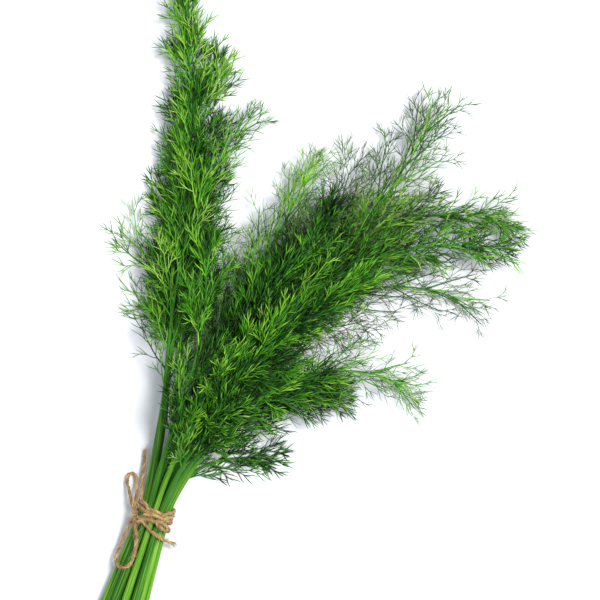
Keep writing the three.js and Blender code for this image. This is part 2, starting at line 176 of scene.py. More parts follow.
def along_line(points, distances):
    """Places at distances along a line of points, and the ways it runs there."""
    steps = np.diff(points, axis=0)
    reach = np.concatenate([[0], np.cumsum(np.linalg.norm(steps, axis=1))])
    places = np.column_stack([np.interp(distances, reach, points[:, axis]) for axis in range(3)])
    nearest = np.clip(np.searchsorted(reach, distances) - 1, 0, len(steps) - 1)
    return places, unit(steps[nearest])


def tubes(points, radii, sides, face, ways=None, groove=1.0):
    """Closed tubes that end in a point, along many lines of points. face is a way across each of them."""
    count, rings = points.shape[:2]
    ways = unit(np.gradient(points, axis=1) if ways is None else ways)
    aside = unit(np.cross(ways, face))
    above = np.cross(ways, aside)
    turn = 2 * np.pi * (np.arange(sides) + 0.5) / sides
    uneven = np.where(np.arange(sides) % 2, groove, 1)
    spokes = np.cos(turn)[:, None] * aside[:, :-1, None] + np.sin(turn)[:, None] * above[:, :-1, None]
    skins = points[:, :-1, None] + spokes * (radii[:, :-1, None] * uneven)[..., None]
    corners = np.concatenate([skins.reshape(count, -1, 3), points[:, -1:]], axis=1)
    ring, k = np.meshgrid(np.arange(rings - 2), np.arange(sides), indexing="ij")
    ring, k, after = ring.ravel(), k.ravel(), (k.ravel() + 1) % sides
    low, high = ring * sides, (ring + 1) * sides
    wall = np.stack([[low + k, low + after, high + after], [low + k, high + after, high + k]], axis=-1)
    wall = wall.transpose(1, 2, 0).reshape(-1, 3)
    side, last = np.arange(sides), (rings - 2) * sides
    point = np.stack([last + side, last + (side + 1) % sides, np.full(sides, last + sides)], axis=1)
    cap = np.stack([np.zeros(sides - 2, int), side[2:], side[1:-1]], axis=1)
    faces = np.concatenate([wall, point, cap])
    along = np.append(np.repeat(np.linspace(0, 1, rings)[:-1], sides), 1)
    around = np.append(np.tile(turn, rings - 1), 0)
    return corners, faces, along, around


# The fronds. Shoots stand on them in pairs, and pairs of finer shoots on those, down to the threads.
FROND_SPACING = 14
FROND_LEAVES_AT, FROND_ENDS_AT = np.radians([45, 23])
FROND_ROLL = np.radians(25)  # fronds lean up or down from level by up to this much
TOP_ROW_RISES = np.radians(45)  # its fronds lean up by this more, since nothing lies on them
FROND_STRAYS = 0.2  # along the stem, by up to this share of the way to the next
FROND_VARIES = (0.88, 1.08)
FROND_LENGTHS = [(0, 0.75), (0.3, 1), (1, 0.5)]  # shares of the longest one, up the leafy part of the stem
LAST_FROND_AT = 0.97
FROND_SAG = 0.1  # how far a frond's tip sags, as a share of its length
LOWEST_SHOOT = 0.4  # height of the middle of a shoot that lies on the surface
LAID_SHARPNESS = 2  # how sharply the shoots bend there
FROND_SIDES = 5
FROND_BENDS = np.linspace(0, 1, 8)
FROND_RADII = np.interp(FROND_BENDS, [0, 0.15, 1], [0.75, 0.42, 0.28])
FROND_TONES = 0.11  # spread of their greens
TIP_FROND = 26  # the end of the stalk that has shoots of its own
# The further rounds of fronds: how far they lean up from level, in degrees, at least and at most, how steeply
# they leave the stem next to the solids' fronds, and their length next to theirs.
MORE_FRONDS = [
    (-30, 45, 0.65, 0.85),
    (20, 65, 0.5, 0.8),
    (0, 60, 0.6, 0.85),
]
MORE_STRAY = 0.4
MORE_VARY = (0.85, 1.05)
# The shoots in three orders, each growing in pairs on the one before: where on its parent the first and last
# pair stand and how far apart, the longest as a share of its parent, how much shorter the last one is and the
# least length, the angles at which they leave and end, how far they stand out of their parent's flat and turn
# out of it, their bends and radii, the shortest parent that bears them, and how much of their stem's dryness
# they show.
PINNULES = dict(starts=0.1, ends=0.92, spacing=6.2, share=0.52, shrinks=0.35, least=12, leaves_at=40,
                ends_at=20, lift=20, twist=35, bends=(0, 0.25, 0.6, 1), radii=(0.32, 0.27, 0.24, 0),
                shortest_parent=0, dries=0.5)
THREADS = dict(starts=0.1, ends=0.74, spacing=4, share=0.74, shrinks=0.3, least=9.5, leaves_at=32, ends_at=17,
               lift=16, twist=45, bends=(0, 0.65, 1), radii=(0.25, 0.22, 0), shortest_parent=5, dries=0.9)
FORKS = dict(starts=0.15, ends=0.45, spacing=4.6, share=0.66, shrinks=0.2, least=6.5, leaves_at=28,
             ends_at=14, lift=20, twist=45, bends=(0, 0.65, 1), radii=(0.23, 0.2, 0), shortest_parent=9.5,
             dries=1)
SHOOT_SIDES = 3
SHOOT_STRAYS = 0.35  # along its parent, by up to this share of the spacing
SHOOT_ROOTS = (0.02, 0.98)  # the part of its parent that a shoot may grow on
SHOOT_VARIES = (0.75, 1.2)
SHOOT_TONES = 0.08
ANGLES_VARY = 0.2
ANGLES_SHARE = 0.88  # of the angles above, for shoots that stand 1 apart
# The shoots' radii above are multiplied by the first, and by less the further apart a stem's shoots stand.
STOUTEST, STOUT_FALLS = 1.35, 1.3
SHADE_CELL = np.array([5, 5, 3])
SHADE_LIFT, SHADE_DARKENS = 0.25, 0.5  # most painted light that the layer below adds to a tone, and most painted shade that the layer above takes
SHADE_FULL = 1.3  # millimetres of thread over each square millimetre that take two thirds of the light
UPPER_STEEP = 0.6  # the shoots near a tip leave at this share of the angle of those near the root


def shoots(roots, ways, outs, lengths, leaves_at, ends_at, bends):
    """Lines of points that leave their parents towards outs and bend towards ways."""
    angles = mix(leaves_at[:, None], ends_at[:, None], np.linspace(0, 1, len(bends) - 1))[..., None]
    each = lengths[:, None, None] * np.diff(bends)[:, None]
    steps = (np.cos(angles) * ways[:, None] + np.sin(angles) * outs[:, None]) * each
    return np.concatenate([roots[:, None], roots[:, None] + np.cumsum(steps, axis=1)], axis=1)


def laid(points, lowest):
    """Bends what would hang below the surface up onto it."""
    above = (points[..., 2] - lowest) * LAID_SHARPNESS
    points[..., 2] = lowest + np.logaddexp(0, above) / LAID_SHARPNESS
    return points


def set_out_fronds(line, stem, draw, draws):
    """One stem's fronds: those that the solids have too, and further rounds between and below them."""
    bare, lower, longest, _, rounds = stem[5:10]
    steps = np.linalg.norm(np.diff(line, axis=0), axis=1)
    start = steps[:STALK_STEPS_BELOW_TIE].sum() + bare
    leafy = steps.sum() - start
    low = -lower / leafy
    count = int(leafy // FROND_SPACING)
    rows = []
    for i in range(count):
        share = min((i + draw(-FROND_STRAYS, FROND_STRAYS)) / (count - 1), 1) * LAST_FROND_AT
        roll = draw(-FROND_ROLL, FROND_ROLL) + (TOP_ROW_RISES if stem[0] == TOP_ROW else 0)
        rows.append((share, 1 if i % 2 else -1, roll, 1, draw(*FROND_VARIES)))
    for which in range(rounds):
        least, most, steep, long = MORE_FRONDS[which % len(MORE_FRONDS)]
        for i in range(count):
            reach = min((i + draws.uniform(-MORE_STRAY, MORE_STRAY)) / (count - 1), 1)
            share = mix(low, 1, reach) * LAST_FROND_AT
            side = -1 if (i + which) % 2 else 1
            roll = np.radians(draws.uniform(least, most))
            rows.append((max(share, low), side, roll, steep, long * draws.uniform(*MORE_VARY)))
    shares, sides, rolls, steep, lengths = np.array(rows).T
    lengths = longest * np.interp(shares, *zip(*FROND_LENGTHS)) * lengths
    roots, ways = along_line(line, start + shares * leafy)
    level = unit(np.cross(ways, UP))
    outs = level * (sides * np.cos(rolls))[:, None] + np.cross(level, ways) * np.sin(rolls)[:, None]
    leaves_at = mix(FROND_LEAVES_AT, FROND_ENDS_AT, shares.clip(0, 1) ** 2) * steep
    ends_at = np.full(len(lengths), FROND_ENDS_AT) * steep
    points = shoots(roots, ways, outs, lengths, leaves_at, ends_at, FROND_BENDS)
    points[..., 2] -= FROND_SAG * lengths[:, None] * FROND_BENDS**2
    total = steps.sum()
    tip, _ = along_line(line, mix(total - TIP_FROND, total, FROND_BENDS))
    return np.concatenate([points, tip[None]]), np.concatenate([unit(np.cross(ways, outs)), UP[None]])


def side_shoots(parents, faces, bends, order, apart, draws):
    """Side shoots in pairs: their lines, the ways their flats face, and which parent each grows on."""
    whole = np.linalg.norm(np.diff(parents, axis=1), axis=2).sum(axis=1)
    starts, ends, spacing = order["starts"], order["ends"], order["spacing"] * apart
    pairs = np.maximum(((ends - starts) * whole / spacing).round().astype(int), 1)
    pairs *= whole > order["shortest_parent"]
    owner = np.repeat(np.arange(len(whole)), pairs)
    rank = np.arange(len(owner)) - np.repeat(np.cumsum(pairs) - pairs, pairs)
    share = np.repeat(mix(starts, ends, (rank + 0.5) / pairs[owner]), 2)
    owner = np.repeat(owner, 2)
    count = len(owner)
    side = np.tile([1, -1], count // 2)[:, None]
    strays = draws.uniform(-SHOOT_STRAYS, SHOOT_STRAYS, count)
    share = (share + strays * spacing / whole[owner]).clip(*SHOOT_ROOTS)
    bends = np.array(bends)
    step = np.searchsorted(bends, share) - 1
    low, high = parents[owner, step], parents[owner, step + 1]
    past = (share - bends[step]) / (bends[step + 1] - bends[step])
    roots, ways = mix(low, high, past[:, None]), unit(high - low)
    facing = faces[owner]
    lengths = np.maximum(order["share"] * whole[owner] * (1 - order["shrinks"] * share), order["least"])
    lengths *= draws.uniform(*SHOOT_VARIES, count)
    lifts = np.radians(draws.uniform(-order["lift"], order["lift"], count))[:, None]
    outs = unit(np.cross(facing, ways) * side * np.cos(lifts) + facing * np.sin(lifts))
    vary = np.radians(draws.normal(1, ANGLES_VARY, count)) * mix(1, UPPER_STEEP, share)
    vary = vary * np.sqrt(apart) * ANGLES_SHARE
    leaves_at, ends_at = order["leaves_at"] * vary, order["ends_at"] * vary
    lines = shoots(roots, ways, outs, lengths, leaves_at, ends_at, order["bends"])
    heads = unit(lines[:, 1] - lines[:, 0])
    turns = np.radians(draws.uniform(-order["twist"], order["twist"], count))[:, None]
    faced = unit(facing - heads * np.sum(facing * heads, axis=1, keepdims=True))
    return lines, faced * np.cos(turns) + np.cross(heads, faced) * np.sin(turns), owner


def grown(line, stem, draw, draws):
    """The lines, radii, sides, facings, tones and dryness of one stem's fronds and of all their shoots."""
    yellow, _, apart, dry = stem[8:]
    stout = STOUTEST / apart**STOUT_FALLS
    lines, faces = set_out_fronds(line, stem, draw, draws)
    tones = yellow + draws.normal(0, FROND_TONES, len(lines))
    parts = [(lines[:-1], FROND_RADII, FROND_SIDES, faces[:-1], tones[:-1], 0)]
    bends = FROND_BENDS
    for order in (PINNULES, THREADS, FORKS):
        lines, faces, owner = side_shoots(lines, faces, bends, order, apart, draws)
        bends = order["bends"]
        tones = tones[owner] + draws.normal(0, SHOOT_TONES, len(owner))
        radii = np.array(order["radii"]) * stout
        parts.append((lines, radii, SHOOT_SIDES, faces, tones, dry * order["dries"]))
    return parts


def lit(foliage):
    """Painted light and shade for each shoot's tone: more where it tops a thick layer, less where others
    cover it.
    """
    middles = np.concatenate([lines.mean(axis=1) for lines, *_ in foliage])
    spans = [np.linalg.norm(lines[:, -1] - lines[:, 0], axis=1) for lines, *_ in foliage]
    cells = ((middles - middles.min(axis=0)) / SHADE_CELL).astype(int)
    held = np.zeros(cells.max(axis=0) + 1)
    np.add.at(held, tuple(cells.T), np.concatenate(spans) / (SHADE_FULL * SHADE_CELL[0] * SHADE_CELL[1]))
    under = np.cumsum(held, axis=2) - held / 2
    over = held.sum(axis=2, keepdims=True) - under
    light = SHADE_LIFT * (1 - np.exp(-under)) - SHADE_DARKENS * (1 - np.exp(-over))
    return np.split(light[tuple(cells.T)], np.cumsum([len(lines) for lines, *_ in foliage])[:-1])


def stalk_skin(line, radii):
    """The tube of a stalk, hollow at its cut end."""
    ways = np.gradient(line, axis=0)
    first = unit(ways[0])
    end = np.array([line[0] + along * first for along, _ in CUT_END])
    rings = np.concatenate([end, line[1:]])[None]
    thick = np.concatenate([[radii[0] * share for _, share in CUT_END], radii[1:]])[None]
    turned = np.concatenate([np.tile(first, (len(CUT_END), 1)), ways[1:]])[None]
    return tubes(rings, thick, STALK_SIDES, UP, turned, GROOVE)


def linear(colour):
    """A colour given in sRGB hex, as the linear RGBA that nodes take."""
    parts = np.array([int(colour[i:i + 2], 16) / 255 for i in (1, 3, 5)])
    return (*np.where(parts <= 0.04045, parts / 12.92, ((parts + 0.055) / 1.055) ** 2.4), 1)


def add(tree, kind, inputs=(), **settings):
    """Adds a shader node with its settings, and sets or links its sockets."""
    made = tree.nodes.new("ShaderNode" + kind)
    for name, value in settings.items():
        setattr(made, name, value)
    for name, value in dict(inputs).items():
        if isinstance(value, bpy.types.NodeSocket):
            tree.links.new(value, made.inputs[name])
        else:
            made.inputs[name].default_value = value
    return made


def colours(tree, share, stops):
    """A colour that runs through stops, each a share and a hex colour."""
    ramp = add(tree, "ValToRGB", {0: share})
    elements = ramp.color_ramp.elements
    while len(elements) < len(stops):
        elements.new(1)
    for element, (at, colour) in zip(elements, stops):
        element.position = at
        element.color = linear(colour)
    return ramp.outputs[0]


def new_material(name):
    material = bpy.data.materials.new(name)
    material.use_nodes = True
    return material, material.node_tree, material.node_tree.nodes["Principled BSDF"]


# Fresh dill thread: a waxy green skin over wet tissue, so it has a soft gloss and no pattern of its own. Its
# tip is the first to dry, to a grey brown.
TIP_DRIES = 2.5  # how close to the tip
leaf_skin, tree, surface = new_material("waxy_dill_leaf")
tone = add(tree, "Attribute", attribute_name="tone").outputs["Fac"]
along = add(tree, "Attribute", attribute_name="along").outputs["Fac"]
# The tone that picks the green holds painted light and shade: lighter where a shoot tops a thick layer,
# darker under others.
greens = [(0, "#062504"), (0.25, "#1f590f"), (0.5, "#4a9516"), (0.75, "#84bf31"), (1, "#b8dc6e")]
green = colours(tree, tone, greens)
at_tip = add(tree, "Math", {0: along, 1: TIP_DRIES}, operation="POWER").outputs[0]
tip = add(tree, "Mix", {0: at_tip, 6: green, 7: linear("#5c5640")}, data_type="RGBA")
tree.links.new(tip.outputs[2], surface.inputs["Base Color"])
surface.inputs["Roughness"].default_value = 0.4
surface.inputs["IOR"].default_value = 1.4
surface.inputs["Specular IOR Level"].default_value = 0.25

# Fresh dill stalk: ribbed and waxy, the ridges paler than the grooves between them, streaked along its
# length.
RIDGE_PALER = 0.2
SHADE_SHARE = 0.55  # of the sum of streak, ridge and tone, which brings it to the stops below
LEAFY_FROM, LEAFY_TO = 0.35, 0.6  # shares of a stalk between which it turns as green as its fronds
stalk_green, tree, surface = new_material("ribbed_dill_stalk")
skin = add(tree, "Attribute", attribute_name="skin").outputs["Vector"]
ridge = add(tree, "Attribute", attribute_name="ridge").outputs["Fac"]
streak = add(tree, "TexNoise", {"Vector": skin, "Scale": 1, "Detail": 3, "Roughness": 0.6}).outputs[0]
shade = add(tree, "Math", {0: ridge, 1: RIDGE_PALER, 2: streak}, operation="MULTIPLY_ADD").outputs[0]
# The tone is a stalk's own, varied at random, plus painted light that makes it lighter the further right it
# lies in its row.
tone = add(tree, "Attribute", attribute_name="tone").outputs["Fac"]
shade = add(tree, "Math", {0: shade, 1: tone}, operation="ADD").outputs[0]
shade = add(tree, "Math", {0: shade, 1: SHADE_SHARE}, operation="MULTIPLY").outputs[0]
green = colours(tree, shade, [(0.41, "#12330d"), (0.54, "#2c6213"), (0.68, "#5a931f"), (0.85, "#a6c659")])
along = add(tree, "Attribute", attribute_name="along").outputs["Fac"]
leafy = add(tree, "MapRange", {0: along, 1: LEAFY_FROM, 2: LEAFY_TO}).outputs[0]
green = add(tree, "Mix", {0: leafy, 6: green, 7: linear("#2f6a17")}, data_type="RGBA").outputs[2]
tree.links.new(green, surface.inputs["Base Color"])
surface.inputs["Roughness"].default_value = 0.45
surface.inputs["IOR"].default_value = 1.4
surface.inputs["Specular IOR Level"].default_value = 0.22

# The pith of a cut stalk: pale, dull and spongy.
pith, tree, surface = new_material("spongy_stalk_pith")
skin = add(tree, "Attribute", attribute_name="skin").outputs["Vector"]
cells = add(tree, "TexNoise", {"Vector": skin, "Scale": 6, "Detail": 2}).outputs[0]
tree.links.new(colours(tree, cells, [(0.3, "#b9cf8c"), (0.7, "#e4ecc9")]), surface.inputs["Base Color"])
surface.inputs["Roughness"].default_value = 0.8


def one_mesh(name, batches, materials):
    """One mesh object of batches of like tubes. Its places are in metres, from the part's origin."""
    corners, faces, uv, slots = [], [], [], []
    values = {key: [] for key in ("tone", "along", "ridge", "skin")}
    offset = 0
    for batch in batches:
        number, size = batch["corners"].shape[:2]
        corners.append((batch["corners"].reshape(-1, 3) - BUNCH_MIDDLE) * MM)
        starts = offset + np.arange(number) * size
        faces.append((batch["faces"] + starts[:, None, None]).reshape(-1, 3))
        uv.append(np.broadcast_to(batch["uv"], (number, *batch["faces"].shape, 2)).reshape(-1, 2))
        slots.append(np.tile(batch["slots"], number))
        for key, held in values.items():
            shape = (number, size, 3) if key == "skin" else (number, size)
            held.append(np.broadcast_to(batch.get(key, 0), shape).reshape(-1, *shape[2:]))
        offset += number * size
    faces = np.concatenate(faces)
    mesh = bpy.data.meshes.new(name)
    mesh.vertices.add(offset)
    mesh.vertices.foreach_set("co", np.concatenate(corners).astype(np.float32).ravel())
    mesh.loops.add(faces.size)
    mesh.loops.foreach_set("vertex_index", faces.astype(np.int32).ravel())
    mesh.polygons.add(len(faces))
    mesh.polygons.foreach_set("loop_start", np.arange(0, faces.size, 3, dtype=np.int32))
    for material in materials:
        mesh.materials.append(material)
    mesh.polygons.foreach_set("material_index", np.concatenate(slots).astype(np.int32))
    mesh.polygons.foreach_set("use_smooth", np.ones(len(faces), bool))
    mesh.update(calc_edges=True)
    mesh.uv_layers.new(name="OFBake").data.foreach_set("uv", np.concatenate(uv).astype(np.float32).ravel())
    for key, held in values.items():
        kind, field = ("FLOAT_VECTOR", "vector") if key == "skin" else ("FLOAT", "value")
        made = mesh.attributes.new(key, kind, "POINT")
        made.data.foreach_set(field, np.concatenate(held).astype(np.float32).ravel())
    piece = bpy.data.objects.new(name, mesh)
    bpy.context.scene.collection.objects.link(piece)
    return piece


STREAKS_ROUND = 2.2  # radius at which the streaks are taken from the noise, so how many go round
STREAKS_ALONG = 0.04  # for each millimetre, so that they run long
STREAKS_APART = 50
STALK_U = (0.52, 0.97)  # the part of the bake's width that is the stalk's; the shoots have what is left of it
SHOOT_U = 0.5
# A stalk is lighter the further to the right of its row it is: painted light, from the lamp's side.
STALK_TONE, STALK_PAINTED_LIGHT_ASIDE, STALK_TONE_VARIES = 0.39, 0.12, 0.17
# How dry a shoot's tip is where its root is fresh, and how much drier where its root is wholly dry.
SHOOT_DRY_FROM, SHOOT_DRY_RISE = 0.65, 0.35
LIGHTEST_SHOOT = 0.9
SOLIDS_SEED, FOLIAGE_SEED = 271, 3  # the first sets the cut ends and the fronds' places, as in the solids


def stalk_batch(line, radii, aside, draws):
    """The stalk of a stem. Its colours run along it in streaks, and its cut end shows the pith."""
    corners, faces, along, around = stalk_skin(line, radii)
    pith_rings, pith_cap = len(CUT_END) - 2, STALK_SIDES - 2
    slots = np.ones(len(faces), int)
    slots[:pith_rings * 2 * STALK_SIDES] = 2
    slots[-pith_cap:] = 2
    distance = along * len(line) * STALK_STEP
    place = distance * STREAKS_ALONG + draws.uniform(0, STREAKS_APART)
    skin = np.column_stack([np.cos(around) * STREAKS_ROUND, np.sin(around) * STREAKS_ROUND, place])
    u = mix(*STALK_U, around[faces] / (2 * np.pi))
    uv = np.stack([u, along[faces]], axis=-1)
    ridge = np.append(1 - np.arange(len(along) - 1) % 2, 1)
    # Painted light: a stalk further to the right of its row is lighter.
    tone = STALK_TONE + STALK_PAINTED_LIGHT_ASIDE * aside + draws.uniform(-STALK_TONE_VARIES, STALK_TONE_VARIES)
    return dict(corners=corners, faces=faces, uv=uv, slots=slots, tone=tone, along=along, skin=skin,
                ridge=ridge)


def shoot_batch(points, thick, sides, facing, tones, dry, light):
    """Many shoots of one order. Each has one tone, painted light and shade included, and its colour changes
    along it by how dry it is.
    """
    points = laid(points, LOWEST_SHOOT)
    corners, faces, along, _ = tubes(points, np.tile(thick, (len(points), 1)), sides, facing[:, None])
    along = mix(dry, SHOOT_DRY_FROM + SHOOT_DRY_RISE * dry, along)
    # Each shoot's own tone with its painted light and shade added.
    shade = (tones + light).clip(0, LIGHTEST_SHOOT)[:, None]
    u, v = np.broadcast_arrays(shade[..., None] * SHOOT_U, along[faces])
    return dict(corners=corners, faces=faces, uv=np.stack([u, v], axis=-1), slots=np.zeros(len(faces), int),
                tone=shade, along=along)


draw = seeded(SOLIDS_SEED)
draws = np.random.default_rng(FOLIAGE_SEED)
stalks = [stalk_line(*stem[:5], draw(0, CUT_UNEVEN)) for stem in LEAFY_STEMS]
foliages = [grown(line, stem, draw, draws) for stem, (line, _) in zip(LEAFY_STEMS, stalks)]
lights = iter(lit([order for foliage in foliages for order in foliage]))
for stem, (line, radii), foliage in zip(LEAFY_STEMS, stalks, foliages):
    node = f"leafy_stem_row{stem[0] + 1}_{stem[1] + 1}"
    shoots_made = [shoot_batch(*order, next(lights)) for order in foliage]
    aside = stem[1] / (ROW_SIZES[stem[0]] - 1)
    batches = [stalk_batch(line, radii, aside, draws), *shoots_made]
    piece = one_mesh("dill_" + node, batches, [leaf_skin, stalk_green, pith])
    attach(piece, "root")
    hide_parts(node)


# ---- The twine ----
# One length of natural jute twine, three plies laid together, about 2 mm thick. It goes round the stems five
# times and is knotted at the left in a bow, with one loop up, one down and a folded one across the turns.
# Both its ends are loose and frayed, one long and one short.
TWINE_RADIUS = 0.9  # of the solids' twine
TWINE_GAP = 0.3  # between that and the stems it binds
# Its distance along the stems each time it passes the left side, the right side and so on, and how far each
# half turn rides up over the ones below it.
WRAP_ENDS = [9, -1, 7, 2.5, -4, 8, 5, 0.5, -6.5, 5, 1]
WRAP_LIFTS = [0, 0, 0.4, 0, 1.3, 0, 1.7, 0, 2.1, 0]
WRAP_STEPS = 24  # to a half turn; more than the solids take, as its plies show every bend
# The rest of the twine, in places by the tie: distance across the stems, along them, and height.
FREE_TAIL = [(-16.3, 33.9, 1.8), (-14.9, 28.5, 3), (-13.6, 24, 4.2), (-12.3, 18, 5.4), (-11, 13, 6.2)]
SHORT_TAIL = [
    (-5.6, -2.2, 16.2), (-2.3, -4, 16.8), (0.9, -6, 16.6), (5.1, -7.8, 15.8), (9, -9, 13.4),
    (12.8, -9.6, 10.4), (16.5, -10.3, 7.6),
]
KNOT = (-10.4, -1.5, 11.6)
KNOT_RADIUS, KNOT_PITCH, KNOT_TURNS = 1.2, 1.9, 2.25
KNOT_STEPS = 40
UPPER_LOOP = [
    (-10.4, 0.5, 11.4), (-13.6, 4.2, 9.5), (-16.5, 8.5, 6.5), (-19.6, 13, 4), (-20.8, 17, 2.6),
    (-19.2, 19.6, 2), (-16.6, 18.6, 2.4), (-14.8, 15.3, 4), (-13.3, 11, 6.4), (-12, 6, 9), (-10.4, 1, 12),
]
LOWER_LOOP = [
    (-10.4, -3, 11.2), (-11.4, -6.5, 9.2), (-12, -12.6, 7), (-12.5, -20.7, 6), (-12.7, -26.7, 6.6),
    (-11, -30.1, 10), (-7.8, -30.8, 14.5), (-4.4, -28.7, 16.9), (-3.1, -23.9, 16.8), (-3.8, -17.1, 16.6),
    (-5.3, -11.1, 16), (-8.4, -5.7, 14), (-10.2, -2.5, 12.2),
]
FOLDED_LOOP = [
    (3.2, 0.6, 17.6), (7.2, -0.8, 15.4), (10.9, -3, 11.8), (11.1, -4.4, 11.4), (9, -4.3, 13.2),
    (5.5, -2.6, 16.6), (2.5, -0.8, 17.8),
]
TWINE_STEP = 0.55
TWINE_SOFTENS = 5  # steps over which a turn of the twine is rounded
TWINE_SEED = 11
PLIES = 3
PLY_RADIUS = 0.5
PLY_OUT = 0.48  # from the middle of the twine to the middle of a ply
PLY_SIDES = 7
PLY_TONES = (0.25, 0.75)
LAY_LENGTH = 6.5  # of one turn of the plies round each other
SLUB_LENGTH = 4  # how often the plies swell and thin
SLUBS = 0.13
FRAYED = 5  # length of a frayed end
FRAY_SPREADS = 1.6  # how much further apart the plies are at its tip
END_STEPS = 6  # steps of the line that give the way it ends
FIBRES = 1100
FIBRE_SIDES = 3
FIBRE_BENDS = np.linspace(0, 1, 5)
FIBRE_RADII = np.array([0.06, 0.055, 0.05, 0.04, 0])
FIBRE_ROOTS = 0.9  # of a ply's radius from its middle
FIBRE_LENGTHS, FIBRE_LIFTS = (1.5, 5.5), (0.1, 0.9)
FIBRE_CURLS = 0.35
FIBRE_ARCH = 2.2  # radians of a wave that a fibre rises and falls by
FIBRE_TONES = (0.4, 1)
FRAYED_FIBRES = 26  # at each free end
FRAYED_LENGTHS = (2.5, 5)
FRAYED_SPREAD = 0.28
FRAYED_ROOTS = 0.3  # spread of their roots about the middle of the twine
FRAYED_BACK = 2  # how far before the end they start
FRAYED_LOWEST = 0.2
FRAYED_LIFT = 0.05  # of their length


def stems_across(along):
    """Middles and radii of the stems, across and up, in a cut at a distance along them from the tie."""
    share = max(-along, 0) / CUT_BELOW_TIE
    rows, places = np.array([stem[:2] for stem in LEAFY_STEMS]).T
    slots = places - (np.array(ROW_SIZES)[rows] - 1) / 2
    tied, cut = TIE_STEM_Z + rows * TIE_ROW_STEP, CUT_STEM_Z + rows * CUT_ROW_STEP
    return slots * mix(TIE_PITCH, CUT_PITCH, share), mix(tied, cut, share), mix(TIE_RADIUS, CUT_RADIUS, share)


def taut(angle, along, lift):
    """The middle of the twine where it is taut round the stems, on the side that faces this angle."""
    across, up, radius = stems_across(along)
    outer = np.argmax(across * np.cos(angle) + up * np.sin(angle))
    off = radius + TWINE_GAP + TWINE_RADIUS + lift
    return by_the_tie(along, across[outer] + off * np.cos(angle), up[outer] + off * np.sin(angle))


def wraps():
    """Half turns go over the stems from left to right, then under them from right to left."""
    line = []
    for half, lift in enumerate(WRAP_LIFTS):
        for share in np.arange(WRAP_STEPS) / WRAP_STEPS:
            along = mix(WRAP_ENDS[half], WRAP_ENDS[half + 1], share)
            line.append(taut(np.pi * (1 - half - share), along, lift * np.sin(np.pi * share)))
    return np.array(line)


def through(places, steps=12):
    """A smooth line through places by the tie."""
    held = np.array([by_the_tie(along, across, z) for across, along, z in places])
    held = np.concatenate([[2 * held[0] - held[1]], held, [2 * held[-1] - held[-2]]])
    t = np.arange(steps)[:, None] / steps
    line = []
    for before, a, b, after in zip(held, held[1:], held[2:], held[3:]):
        bend = (2 * before - 5 * a + 4 * b - after) * t**2 + (3 * a - before - 3 * b + after) * t**3
        line.append(a + ((b - before) * t + bend) / 2)
    return np.concatenate([*line, held[-2:-1]])


def knotted():
    share = np.linspace(0, 1, KNOT_STEPS)
    turn = 2 * np.pi * KNOT_TURNS * share
    rise = KNOT_PITCH * KNOT_TURNS * (share - 0.5)
    across, along, z = KNOT
    coil = np.column_stack([KNOT_RADIUS * np.cos(turn), rise, KNOT_RADIUS * np.sin(turn)])
    return by_the_tie(along, across, z) + coil


def evened(line, step):
    reach = np.linalg.norm(np.diff(line, axis=0), axis=1).sum()
    return along_line(line, np.linspace(0, reach, round(reach / step)))[0]


def softened(line, over):
    """Rounds a line off, with its ends kept."""
    padded = np.concatenate([np.repeat(line[:1], over, axis=0), line, np.repeat(line[-1:], over, axis=0)])
    weights = np.hanning(2 * over + 3)[1:-1]
    parts = [np.convolve(padded[:, axis], weights / weights.sum(), "valid") for axis in range(3)]
    return np.concatenate([line[:1], np.column_stack(parts)[1:-1], line[-1:]])


def carried(ways, start):
    """A way across a line, carried along it without turning round it."""
    faces = [unit(start - ways[0] * np.dot(start, ways[0]))]
    for way in ways[1:]:
        faces.append(unit(faces[-1] - way * np.dot(faces[-1], way)))
    return np.array(faces)


def plied(line, frays, draws):
    """The plies of a length of twine: lines, radii, outward ways and tones, and how far along each is."""
    ways = unit(np.gradient(line, axis=0))
    face = carried(ways, UP + 0.1 * ALONG)
    aside = np.cross(ways, face)
    distance = np.arange(len(line)) * TWINE_STEP
    left = distance[::-1] if frays > 0 else distance
    spread = 1 + FRAY_SPREADS * (1 - left / FRAYED).clip(0, 1) ** 2 * (frays != 0)
    turns = 2 * np.pi * (distance / LAY_LENGTH + np.arange(PLIES)[:, None] / PLIES)
    outs = np.cos(turns)[..., None] * face + np.sin(turns)[..., None] * aside
    marks = np.arange(0, distance[-1] + 2 * SLUB_LENGTH, SLUB_LENGTH)
    swells = np.array([np.interp(distance, marks, draws.normal(0, SLUBS, len(marks))) for _ in range(PLIES)])
    tones = [np.interp(distance, marks, draws.uniform(*PLY_TONES, len(marks))) for _ in range(PLIES)]
    lines = line + outs * (PLY_OUT * spread)[:, None]
    radii = PLY_RADIUS * (1 + swells) / spread
    return lines, radii, outs, np.array(tones), distance


STREAK_SLANT = 0.5  # radians that the fibres of a ply turn round it for each millimetre
STREAK_ROUND = 3.2  # radius at which the streaks are taken from the noise
STREAK_ALONG = 0.35
LENGTHS_APART, PLIES_APART = 40, 17  # in the noise, so that no two plies look the same
BAKE_ROWS = 7  # one for each length of the twine, and the last for the loose fibres
WIDER_THAN_ROUND = 7  # radians, a little more than a turn, so that the plies' rows stay apart
FIBRE_V, FIBRE_V_RISE = 0.96, 0.03
FIBRES_APART = 30


